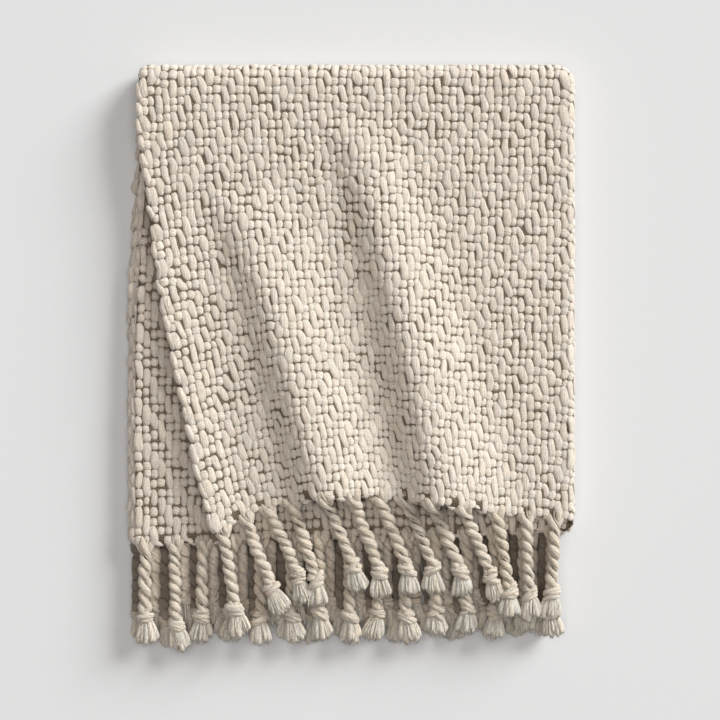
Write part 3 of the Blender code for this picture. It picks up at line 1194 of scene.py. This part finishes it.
    def fine_tuft(self, batch: YarnBatch, fall: Fall) -> float:
        """Fine locks that flare all round the strand.

        Args:
            batch: The batch that they go to.
            fall: The strand.

        Returns:
            How far the tuft's tip bends aside.
        """
        locks = self.locks
        t = np.linspace(0, 1, 6)[None]
        angle = self.rng.uniform(0, 2 * math.pi, (locks, 1))
        reach = np.sqrt(self.rng.uniform(0.1, 1, (locks, 1)))
        length = self.rng.uniform(0.8, 1.06, (locks, 1)) * (1 - 0.14 * reach ** 2)
        run = self.knot_middle + 2 + (self.tip - self.knot_middle - 2) * t * length
        middle, _, side, rise = self.frame_at(fall, run.ravel())
        shape = (locks, t.shape[1], 3)
        middle, side, rise = (part.reshape(shape) for part in (middle, side, rise))
        close, wide = self.lock_flare
        flare = reach * (close + wide * self.rng.uniform(0.8, 1.25) * np.sin(0.5 * math.pi * t))
        bend = self.rng.normal(0, 2.4)
        curl = self.rng.normal(0, 2.2, (locks, 1)) * np.sin(2.6 * t) * t
        centre = (middle + (flare * np.cos(angle) + curl + bend * t ** 2)[..., None] * side
                  + (0.5 * flare * np.sin(angle))[..., None] * rise)
        fat = self.lock_size * self.rng.uniform(0.7, 1.35, (locks, 1))
        size = fat * rounded(2 * t - 1, 5) * (1.15 - 0.4 * t)
        # Painted shade: the row's share, less a fixed amount that clears the painted shade of the
        # locks' lower sides.
        batch.add(centre, rise, size * 1.5, size * 0.7, self.rng, tone=self.end_tone, sides=5,
                  shade_amount=-0.5 + 0.3 * self.shade * np.ones_like(size), hues=(0.85, 1.0))
        return bend

    def broad_tuft(self, batch: YarnBatch, fall: Fall, bend: float) -> None:
        """A fan of broad soft locks, side by side.

        Args:
            batch: The batch that they go to.
            fall: The strand.
            bend: How far the tuft's tip bends aside.
        """
        count = self.broad_locks
        fan = np.linspace(-1, 1, count)[:, None] + self.rng.normal(0, 0.08, (count, 1))
        over = self.rng.uniform(-0.6, 1.0, (count, 1)) * (1 - 0.7 * fan ** 2)
        s = np.linspace(0, 1, 8)[None]
        length = self.rng.uniform(0.8, 1.0, (count, 1)) * (1 - 0.12 * fan ** 2)
        run = self.knot_middle + 1 + (self.tip - self.knot_middle - 1) * s * length
        middle, _, side, rise = self.frame_at(fall, run.ravel())
        shape = (count, s.shape[1], 3)
        middle, side, rise = (part.reshape(shape) for part in (middle, side, rise))
        curl = self.rng.normal(0, 0.9, (count, 1)) * np.sin(math.pi * s)
        close, wide = self.broad_fan
        aside = fan * (close + wide * s ** 0.8) + curl + bend * s ** 2
        lifted = over * (1.5 + 2.4 * np.sin(0.6 * math.pi * s))
        centre = middle + aside[..., None] * side + lifted[..., None] * rise
        swell = rounded(2 * s - 1, 3) * (0.75 + 0.4 * s)
        swell = swell * self.rng.uniform(0.8, 1.2, (count, 1))
        across, thick = self.broad_size
        # Painted shade as for the fine locks.
        batch.add(centre, rise, across * swell, thick * swell, self.rng, tone=self.end_tone,
                  shade_amount=(-0.3 + 0.3 * self.shade) * np.ones_like(centre[..., 0]),
                  hues=(0.8, 1.0))

    def loosen(self, fall: Fall) -> tuple[Fall, float]:
        """Give a strand its own drift and length, unlike its neighbours'.

        Args:
            fall: The strand.

        Returns:
            The strand with its own drift, and the change of its length.
        """
        knot = fall.to_knot + self.rng.normal(0, 0.4 * self.sway)
        tip = fall.to_tip + knot - fall.to_knot + self.rng.normal(0, 0.6 * self.sway)
        return Fall(fall.x, knot, tip), self.rng.uniform(-1, 0.4) * self.reach_change

    def build(self, material: bpy.types.Material) -> bpy.types.Object:
        """Make the row's strands as one piece that stands for its solid.

        Args:
            material: Finish of the twisted yarn.

        Returns:
            The new piece.
        """
        # Painted shade on the lower sides of the strands.
        batch = YarnBatch(self.name, sides=8, under=0.72)
        for strand in self.strands:
            fall, change = self.loosen(strand)
            own = replace(self, rope_end=self.rope_end + change,
                          knot_middle=self.knot_middle + change, tip=self.tip + change)
            own.gather(batch, fall)
            own.rope(batch, fall)
            own.knot(batch, fall)
            own.tuft(batch, fall)
        piece = batch.build(material)
        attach(piece, "root")
        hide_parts(self.node)
        return piece


@dataclass
class Graph:
    """A node tree, with each node or link made in one call."""

    tree: bpy.types.NodeTree

    def add(self, kind: str, inputs: dict[str | int, object] | None = None,
            **settings: object) -> bpy.types.Node:
        """Add a shader node.

        Args:
            kind: Type of the node, without its prefix.
            inputs: Values of its inputs, by name or number.
            **settings: The node's own settings.

        Returns:
            The new node.
        """
        node = self.tree.nodes.new("ShaderNode" + kind)
        for key, value in settings.items():
            setattr(node, key, value)
        for key, value in (inputs or {}).items():
            node.inputs[key].default_value = value
        return node

    def join(self, source: bpy.types.Node, output: str | int,
             target: bpy.types.Node, slot: str | int) -> None:
        """Link an output of one node to an input of another."""
        self.tree.links.new(source.outputs[output], target.inputs[slot])

    def bump(self, source: bpy.types.Node, output: str | int, shader: bpy.types.Node,
             strength: float, distance: float) -> None:
        """Let a height roughen a shader's surface.

        Args:
            source: Node that gives the height.
            output: Its output.
            shader: The shader.
            strength: Strength of the bump.
            distance: Depth of the bump in metres.
        """
        bump = self.add("Bump", {"Strength": strength, "Distance": distance})
        self.join(source, output, bump, "Height")
        self.join(bump, "Normal", shader, "Normal")


def new_material(
    name: str,
    surface: dict[str, object],
) -> tuple[bpy.types.Material, Graph, bpy.types.Node]:
    """Make a material with its shader's inputs set.

    Args:
        name: Name of the material.
        surface: Values of the shader's inputs, by name.

    Returns:
        The material, its node graph and its shader.
    """
    material = bpy.data.materials.new(name)
    material.use_nodes = True
    shader = material.node_tree.nodes["Principled BSDF"]
    for key, value in surface.items():
        shader.inputs[key].default_value = value
    return material, Graph(material.node_tree), shader


@dataclass(frozen=True)
class FibreGroup:
    """Shader group: fibres that run along a yarn, as a value and a height."""

    name: str = "yarn_fibres"
    twist: float = 1.6
    fuzz_scale: float = 620.0
    fuzz_share: float = 0.5

    def tree(self) -> bpy.types.NodeTree:
        """Give the group's node tree, which is built on first use.

        Returns:
            The node tree, which all the yarn finishes share.
        """
        known = bpy.data.node_groups.get(self.name)
        if known:
            return known
        tree = bpy.data.node_groups.new(self.name, "ShaderNodeTree")
        face = tree.interface
        for label, start in (("Along", 60.0), ("Around", 900.0)):
            socket = face.new_socket(label, in_out="INPUT", socket_type="NodeSocketFloat")
            socket.default_value = start
        for label in ("Streak", "Fuzz", "Height"):
            face.new_socket(label, in_out="OUTPUT", socket_type="NodeSocketFloat")
        graph = Graph(tree)
        entry = tree.nodes.new("NodeGroupInput")
        leave = tree.nodes.new("NodeGroupOutput")
        parts = graph.add("SeparateXYZ")
        graph.join(graph.add("UVMap", uv_map="Yarn"), "UV", parts, 0)
        scaled = []
        for axis, label in (("X", "Along"), ("Y", "Around")):
            scale = graph.add("Math", operation="MULTIPLY")
            graph.join(parts, axis, scale, 0)
            graph.join(entry, label, scale, 1)
            scaled.append(scale)
        twist = graph.add("Math", {1: self.twist}, operation="MULTIPLY_ADD")
        graph.join(scaled[0], 0, twist, 0)
        graph.join(scaled[1], 0, twist, 2)
        joined = graph.add("CombineXYZ")
        graph.join(scaled[0], 0, joined, "X")
        graph.join(twist, 0, joined, "Y")
        streak = graph.add("TexNoise", {"Scale": 1.0, "Detail": 3.0, "Roughness": 0.6})
        graph.join(joined, 0, streak, "Vector")
        fuzz = graph.add("TexNoise", {"Scale": self.fuzz_scale, "Detail": 3.0})
        graph.join(graph.add("TexCoord"), "Object", fuzz, "Vector")
        height = graph.add("Math", {1: self.fuzz_share}, operation="MULTIPLY_ADD")
        graph.join(fuzz, "Fac", height, 0)
        graph.join(streak, "Fac", height, 2)
        graph.join(streak, "Fac", leave, "Streak")
        graph.join(fuzz, "Fac", leave, "Fuzz")
        graph.join(height, 0, leave, "Height")
        return tree


@dataclass(frozen=True)
class YarnFinish:
    """Matt slubby yarn: each yarn its own shade, fibres along it, and painted shade towards a dark
    colour where the yarns lie deep or turn under.
    """

    name: str
    shades: tuple[tuple[float, float, float], ...]
    # Colour of the painted shade in the creases and under the yarns.
    shade_colour: tuple[float, float, float]
    along: float = 70.0
    around: float = 480.0
    streak_low: float = 0.76
    streak_high: float = 1.05
    grain: float = 0.17
    tone_step: float = 0.055
    # How fast the painted shade deepens with its weight.
    shade_power: float = 1.6
    bump: float = 0.9
    bump_distance: float = 0.0014
    sheen: float = 0.2
    roughness: float = 0.92
    scatter: float = 0.3
    scatter_reach: float = 0.003

    def build(self) -> bpy.types.Material:
        """Make the material.

        Returns:
            The new material.
        """
        material, graph, shader = new_material(self.name, {
            "Roughness": self.roughness,
            "Specular IOR Level": 0.25,
            "Sheen Weight": self.sheen,
            "Sheen Roughness": 0.6,
            "Subsurface Weight": self.scatter,
            "Subsurface Radius": (1.0, 0.8, 0.6),
            "Subsurface Scale": self.scatter_reach,
        })
        fibres = graph.add("Group", node_tree=FibreGroup().tree())
        fibres.inputs["Along"].default_value = self.along
        fibres.inputs["Around"].default_value = self.around
        toned = graph.add("Mix", {"Factor": 1.0}, data_type="RGBA", blend_type="MULTIPLY")
        graph.join(self._own_shade(graph), "Color", toned, "A")
        graph.join(self._level(graph, fibres), 0, toned, "B")
        # Painted shade: the yarn's colour mixes towards the shade colour by the painted shade
        # attribute.
        shade_level = graph.add("Math", {1: self.shade_power}, operation="POWER")
        graph.join(graph.add("Attribute", attribute_name="painted_shade"), "Fac", shade_level, 0)
        shaded = graph.add("Mix", {"B": (*self.shade_colour, 1.0)}, data_type="RGBA")
        graph.join(shade_level, 0, shaded, "Factor")
        graph.join(toned, "Result", shaded, "A")
        graph.join(shaded, "Result", shader, "Base Color")
        graph.bump(fibres, "Height", shader, self.bump, self.bump_distance)
        return material

    def _own_shade(self, graph: Graph) -> bpy.types.Node:
        """Give each yarn a colour between the finish's shades.

        Args:
            graph: Node graph of the material.

        Returns:
            A colour ramp over the yarns' hue.
        """
        ramp = graph.add("ValToRGB")
        stops = ramp.color_ramp.elements
        while len(stops) < len(self.shades):
            stops.new(0.5)
        for k, shade in enumerate(self.shades):
            stops[k].position = k / (len(self.shades) - 1)
            stops[k].color = (*shade, 1.0)
        graph.join(graph.add("Attribute", attribute_name="hue"), "Fac", ramp, "Fac")
        return ramp

    def _level(self, graph: Graph, fibres: bpy.types.Node) -> bpy.types.Node:
        """Brightness from the yarn's tone, its fibres and its specks.

        Args:
            graph: Node graph of the material.
            fibres: The fibre group's node.

        Returns:
            A math node with the brightness.
        """
        value = graph.add("Math", {1: self.tone_step, 2: 1.0}, operation="MULTIPLY_ADD")
        graph.join(graph.add("Attribute", attribute_name="tone"), "Fac", value, 0)
        lines = graph.add("MapRange", {"From Min": 0.3, "From Max": 0.62,
                                       "To Min": self.streak_low, "To Max": self.streak_high})
        graph.join(fibres, "Streak", lines, "Value")
        specks = graph.add("MapRange", {"From Min": 0.3, "From Max": 0.7,
                                        "To Min": 1 - self.grain, "To Max": 1 + self.grain})
        graph.join(fibres, "Fuzz", specks, "Value")
        grained = graph.add("Math", operation="MULTIPLY")
        graph.join(lines, "Result", grained, 0)
        graph.join(specks, "Result", grained, 1)
        level = graph.add("Math", operation="MULTIPLY")
        graph.join(value, 0, level, 0)
        graph.join(grained, 0, level, 1)
        return level


@dataclass(frozen=True)
class GroundFinish:
    """The cloth behind the raised yarns: dark threads in a small weave, dark partly as the taupe
    threads' own colour and partly as painted shade of the deep gaps between yarns.
    """

    name: str = "ground_weave"
    # Both colours are dark partly as the threads' own colour and partly as painted shade of the
    # gaps.
    dark: tuple[float, float, float] = (0.15, 0.113, 0.077)
    light: tuple[float, float, float] = (0.29, 0.23, 0.17)
    threads: float = 2.0
    bump: float = 0.8
    bump_distance: float = 0.001

    def build(self) -> bpy.types.Material:
        """Make the material.

        Returns:
            The new material.
        """
        material, graph, shader = new_material(
            self.name, {"Roughness": 0.95, "Specular IOR Level": 0.2})
        cloth = graph.add("UVMap", uv_map="Cloth")
        cross = graph.add("Math", operation="MULTIPLY")
        waves = {"Scale": self.threads / 2, "Distortion": 1.2, "Detail": 2.0}
        for slot, direction in enumerate(("X", "Y")):
            wave = graph.add("TexWave", waves, bands_direction=direction)
            graph.join(cloth, "UV", wave, "Vector")
            graph.join(wave, "Fac", cross, slot)
        ends = {"A": (*self.dark, 1.0), "B": (*self.light, 1.0)}
        colour = graph.add("Mix", ends, data_type="RGBA")
        graph.join(cross, 0, colour, "Factor")
        graph.join(colour, "Result", shader, "Base Color")
        graph.bump(cross, 0, shader, self.bump, self.bump_distance)
        return material


@dataclass
class GroundCloth:
    """The thin folded sheet that carries the raised yarns."""

    sheet: FoldedSheet
    thickness: float = 6.2
    flat: tuple[float, float] = (1.13, 1.18)
    across: int = 100
    along: int = 88

    def build(self, material: bpy.types.Material) -> bpy.types.Object:
        """Lay a grid along the folds and give it its thickness.

        Args:
            material: Finish of the ground.

        Returns:
            The new piece.
        """
        bpy.ops.object.select_all(action="DESELECT")
        bpy.ops.mesh.primitive_grid_add(x_subdivisions=self.across, y_subdivisions=self.along,
                                        size=2, calc_uvs=False)
        piece = bpy.context.object
        piece.name = piece.data.name = "throw_ground"
        mesh = piece.data
        flat = np.empty(len(mesh.vertices) * 3)
        mesh.vertices.foreach_get("co", flat)
        flat = flat.reshape(-1, 3)
        column = (flat[:, 0] + 1) / 2 * self.sheet.width
        row = (flat[:, 1] + 1) / 2 * self.sheet.length
        points = self.sheet.place(column, row) * MM
        mesh.vertices.foreach_set("co", points.ravel())
        layer = mesh.uv_layers.new(name="Cloth")
        corners = np.empty(len(mesh.loops), dtype=np.int32)
        mesh.loops.foreach_get("vertex_index", corners)
        uv = np.stack([column, row], -1)[corners]
        layer.data.foreach_set("uv", uv.astype(np.float32).ravel())
        mesh.materials.append(material)
        solid = piece.modifiers.new("Thickness", "SOLIDIFY")
        solid.thickness = self.thickness * MM
        solid.offset = 0
        bpy.ops.object.modifier_apply(modifier=solid.name)
        bpy.ops.object.shade_smooth()
        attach(piece, "root")
        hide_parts("throw_cloth")
        return piece


@dataclass
class Throw:
    """The whole throw: ground, weave and fringe."""

    sheet: FoldedSheet = field(default_factory=FoldedSheet)
    seed: int = SEED
    # Painted shade of each fringe row, darker for the rows that lie beneath.
    row_painted_shades: tuple[float, ...] = (0.0, 0.0, 0.1, 0.88)
    rope_widths: tuple[float, ...] = (1.0, 1.0, 1.25, 1.5)
    ply_widths: tuple[float, ...] = (1.0, 1.0, 1.65, 2.5)
    # Painted shade down the sides of the cloth's crowned yarns.
    groove_shade: float = 0.6
    inner_edge: int = 15
    lower_edge: int = 3
    hem_rows: int = 4
    edge_columns: int = 2
    coarse: int = 6
    underside_flat: float = 0.7
    rng: np.random.Generator = field(init=False, repr=False)
    weave: Weave = field(init=False, repr=False)
    roll_end: int = field(init=False)
    fold_end: int = field(init=False)

    def __post_init__(self) -> None:
        """Set up the weave, the random draws and the ends of the two turns."""
        self.rng = np.random.default_rng(self.seed)
        uneven = Unevenness(self.sheet.width, self.sheet.length, self.seed + 1)
        self.weave = Weave(self.sheet, self.rng, uneven)
        self.roll_end = self.sheet.columns + self.sheet.roll_columns
        self.fold_end = self.sheet.rows + self.sheet.fold_rows

    def weave_pieces(self, yarn: bpy.types.Material) -> list[bpy.types.Object]:
        """Raised yarns of every stretch of cloth that shows.

        Args:
            yarn: Finish of the yarns.

        Returns:
            The new pieces.
        """
        batches = [*self.outer_faces(), self.inner_layers(), self.selvedges(), self.hems()]
        return [self._finish(batch.build(yarn)) for batch in batches]

    def outer_faces(self) -> list[YarnBatch]:
        """Yarns of the faces that look up, to the right and down.

        Returns:
            The lower and upper halves of the top layer, and the underside.
        """
        weave, across = self.weave, (0, self.roll_end)
        half = self.sheet.rows // 2
        batches = []
        for name, rows in (("weave_top_lower", (0, half)),
                           ("weave_top_upper", (half, self.fold_end))):
            batch = YarnBatch(name, under=self.groove_shade, crown=True)
            weave.block(batch, across, rows, Face.OUT)
            batches.append(batch)
        under = YarnBatch("weave_underside", sides=6, under=self.groove_shade, crown=True)
        weave.block(under, across, (self.fold_end, self.sheet.length), Face.OUT,
                    detail=self.coarse, flat=self.underside_flat)
        return [*batches, under]

    def inner_layers(self) -> YarnBatch:
        """Yarns of the inner layers, along the left edge and under the hem.

        Returns:
            The batch, ready to build.
        """
        sheet, weave = self.sheet, self.weave
        batch = YarnBatch("weave_inner_layers", under=self.groove_shade, crown=True)
        first = sheet.width - self.inner_edge
        weave.block(batch, (first, sheet.width), (0, sheet.rows), Face.IN)
        weave.block(batch, (self.roll_end, first), (0, self.hem_rows), Face.IN)
        edge = sheet.width - self.lower_edge
        weave.block(batch, (edge, sheet.width), (self.fold_end, sheet.length), Face.IN,
                    detail=self.coarse)
        return batch

    def selvedges(self) -> YarnBatch:
        """The looped edges at the left of all four layers, with their backs.

        Returns:
            The batch, ready to build.
        """
        sheet, weave = self.sheet, self.weave
        batch = YarnBatch("weave_selvedges")
        last = sheet.width - self.edge_columns
        for rows in ((0, sheet.rows), (self.fold_end, sheet.length)):
            weave.selvedge(batch, 0.0, rows, -1.0)
            weave.selvedge(batch, float(sheet.width), rows, 1.0)
            weave.block(batch, (0, self.edge_columns), rows, Face.IN, detail=self.coarse)
            weave.block(batch, (last, sheet.width), rows, Face.OUT, detail=self.coarse)
        return batch

    def hems(self) -> YarnBatch:
        """The last cross yarns of all four layers.

        Returns:
            The batch, ready to build.
        """
        batch = YarnBatch("weave_hems")
        for columns in ((0, self.sheet.columns), (self.roll_end, self.sheet.width)):
            self.weave.hem_bars(batch, 0.0, columns, 1.0)
            self.weave.hem_bars(batch, float(self.sheet.length), columns, -1.0)
        return batch

    def thread_piece(self, dark: bpy.types.Material) -> bpy.types.Object:
        """Fine dark threads between the knobs of the faces that show.

        Args:
            dark: Finish of the threads.

        Returns:
            The new piece.
        """
        sheet = self.sheet
        batch = YarnBatch("weave_threads", sides=5)
        self.weave.threads(batch, (0, self.roll_end), (0, self.fold_end), Face.OUT)
        self.weave.threads(batch, (sheet.width - self.inner_edge, sheet.width),
                           (0, sheet.rows), Face.IN)
        return self._finish(batch.build(dark))

    @staticmethod
    def _finish(piece: bpy.types.Object) -> bpy.types.Object:
        """Let a weave piece ride with the throw.

        Args:
            piece: The piece.

        Returns:
            The same piece.
        """
        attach(piece, "root")
        return piece

    def fringe_rows(self) -> list[FringeRow]:
        """Lay out the four fringe rows.

        Returns:
            The rows, from the top layer down.
        """
        top_strands = (
            Fall(-169, 18, 30), Fall(-140, 30, 42), Fall(-110, 34, 42), Fall(-78, 32, 38),
            Fall(-36, 36, 46), Fall(-2, 36, 40), Fall(33, 36, 38), Fall(67, 36, 42),
            Fall(102, 34, 42), Fall(142, 38, 50), Fall(184, 20, 26), Fall(224, 4, 10),
            Fall(262, -4, -2),
        )
        rows = (
            ("fringe_a", "fringe_top_outer", True, True, Lie(0, 39.5, 41.0, 41.0), top_strands),
            ("fringe_b", "fringe_top_inner", True, False, Lie(30, 24.6, 25.2, 25.2),
             FringeRow.even(-271, 15)),
            ("fringe_c", "fringe_bottom_inner", False, False, Lie(26, 8.2, 8.6, 8.2),
             FringeRow.even(-261, 14)),
            ("fringe_d", "fringe_bottom_outer", False, True, Lie(0, 8.2, 8.6, 8.2),
             FringeRow.even(-280, 15)),
        )
        return [FringeRow(name, node, self.sheet, top, outer, lie, strands, self.rng,
                          shade=self.row_painted_shades[depth], rope_wide=self.rope_widths[depth],
                          ply_wide=self.ply_widths[depth], sway=6.0 if top else 3.0,
                          binder_size=1.1 if top else 0.0)
                for depth, (name, node, top, outer, lie, strands) in enumerate(rows)]

    def build(self) -> None:
        """Build every piece of the throw."""
        cream = YarnFinish(
            "cream_yarn",
            ((0.735, 0.64, 0.551), (0.756, 0.67, 0.574), (0.72, 0.648, 0.553),
             (0.745, 0.649, 0.538), (0.777, 0.714, 0.628)),
            # Colour of the painted shade.
            (0.155, 0.108, 0.066),
        )
        tassel = YarnFinish(
            "tassel_yarn",
            ((0.715, 0.61, 0.495), (0.735, 0.64, 0.525), (0.69, 0.61, 0.50),
             (0.725, 0.62, 0.48), (0.73, 0.672, 0.578)),
            # Colour of the painted shade.
            (0.11, 0.077, 0.048),
            around=380.0,
            streak_low=0.64,
            bump_distance=0.0028,
        )
        taupe = YarnFinish(
            "taupe_thread",
            ((0.20, 0.15, 0.105), (0.30, 0.235, 0.17)),
            # Colour of the painted shade.
            (0.10, 0.07, 0.045),
            sheen=0.0,
        )
        ground = GroundCloth(self.sheet).build(GroundFinish().build())
        LOG.info("ground cloth built")
        pieces = self.weave_pieces(cream.build())
        pieces.append(self.thread_piece(taupe.build()))
        rope = tassel.build()
        for row in self.fringe_rows():
            pieces.append(row.build(rope))
            LOG.info("%s built with %d strands", row.name, len(row.strands))


@dataclass(frozen=True)
class Studio:
    """Pale floor, large soft light from the upper right, camera overhead."""

    frame_pixels: int = 720
    pixel: float = 1.3 * MM
    centre_pixel: tuple[float, float] = (353.0, 358.0)
    surface_z: float = 0.03
    lens: float = 85.0
    sensor: float = 36.0
    floor_colour: tuple[float, float, float] = (0.72, 0.72, 0.72)
    floor_side: float = 36.0
    floor_gap: float = 0.5 * MM
    key_turn: float = 39.0
    key_height: float = 23.0
    key_distance: float = 40.0
    key_size: float = 18.4
    key_power: float = 21600.0
    key_colour: tuple[float, float, float] = (0.975, 1.0, 1.01)
    fill_height: float = 5.0
    fill_size: float = 4.0
    fill_power: float = 126.0
    fill_colour: tuple[float, float, float] = (1.0, 0.975, 0.965)
    sky: float = 0.16
    sky_colour: tuple[float, float, float] = (1.0, 0.965, 0.94)

    def build(self) -> None:
        """Make floor, light, surroundings and camera."""
        self._floor()
        self._light()
        self._camera()
        LOG.info("studio built")

    def _floor(self) -> None:
        """A wide pale floor under the throw."""
        bpy.ops.object.select_all(action="DESELECT")
        bpy.ops.mesh.primitive_plane_add(size=self.floor_side, location=(0, 0, -self.floor_gap))
        floor = bpy.context.object
        floor.name = "floor"
        material, _, _ = new_material("pale_floor", {
            "Base Color": (*self.floor_colour, 1.0),
            "Roughness": 0.9,
            "Specular IOR Level": 0.1,
        })
        floor.data.materials.append(material)

    def _light(self) -> None:
        """A large soft light from the upper right, a panel overhead and a dim sky."""
        turn, height = math.radians(self.key_turn), math.radians(self.key_height)
        place = (
            self.key_distance * math.cos(height) * math.cos(turn),
            self.key_distance * math.cos(height) * math.sin(turn),
            self.key_distance * math.sin(height),
        )
        key = self._panel("key", self.key_size, self.key_power, self.key_colour)
        key.location = place
        key.rotation_euler = (0.0, math.pi / 2 - height, turn)
        fill = self._panel("fill", self.fill_size, self.fill_power, self.fill_colour)
        fill.location = (0.0, 0.0, self.fill_height)
        world = bpy.data.worlds.new("surroundings")
        world.use_nodes = True
        back = world.node_tree.nodes["Background"]
        back.inputs["Color"].default_value = (*self.sky_colour, 1.0)
        back.inputs["Strength"].default_value = self.sky
        bpy.context.scene.world = world
        bpy.context.scene.view_settings.view_transform = "Standard"

    @staticmethod
    def _panel(name: str, size: float, power: float,
               colour: tuple[float, float, float]) -> bpy.types.Object:
        """Add a square area light.

        Args:
            name: Name of the light.
            size: Side of the square in metres.
            power: Power in watts.
            colour: Colour of the light.

        Returns:
            The light's object, at the origin and facing down.
        """
        light = bpy.data.lights.new(name, "AREA")
        light.shape = "SQUARE"
        light.size = size
        light.energy = power
        light.color = colour
        panel = bpy.data.objects.new(name, light)
        bpy.context.scene.collection.objects.link(panel)
        return panel

    def _camera(self) -> None:
        """A long lens straight above, with the top fold at the picture's top."""
        wide = self.frame_pixels * self.pixel
        half = self.frame_pixels / 2
        data = bpy.data.cameras.new("overhead")
        data.lens = self.lens
        data.sensor_width = self.sensor
        data.dof.use_dof = False
        camera = bpy.data.objects.new("overhead", data)
        camera.location = (
            (half - self.centre_pixel[0]) * self.pixel,
            (self.centre_pixel[1] - half) * self.pixel,
            self.surface_z + wide * self.lens / self.sensor,
        )
        bpy.context.scene.collection.objects.link(camera)
        bpy.context.scene.camera = camera


def main() -> None:
    """Build the throw and its studio."""
    logging.basicConfig(level=logging.INFO)
    Throw().build()
    Studio().build()


if __name__ == "__main__":
    main()
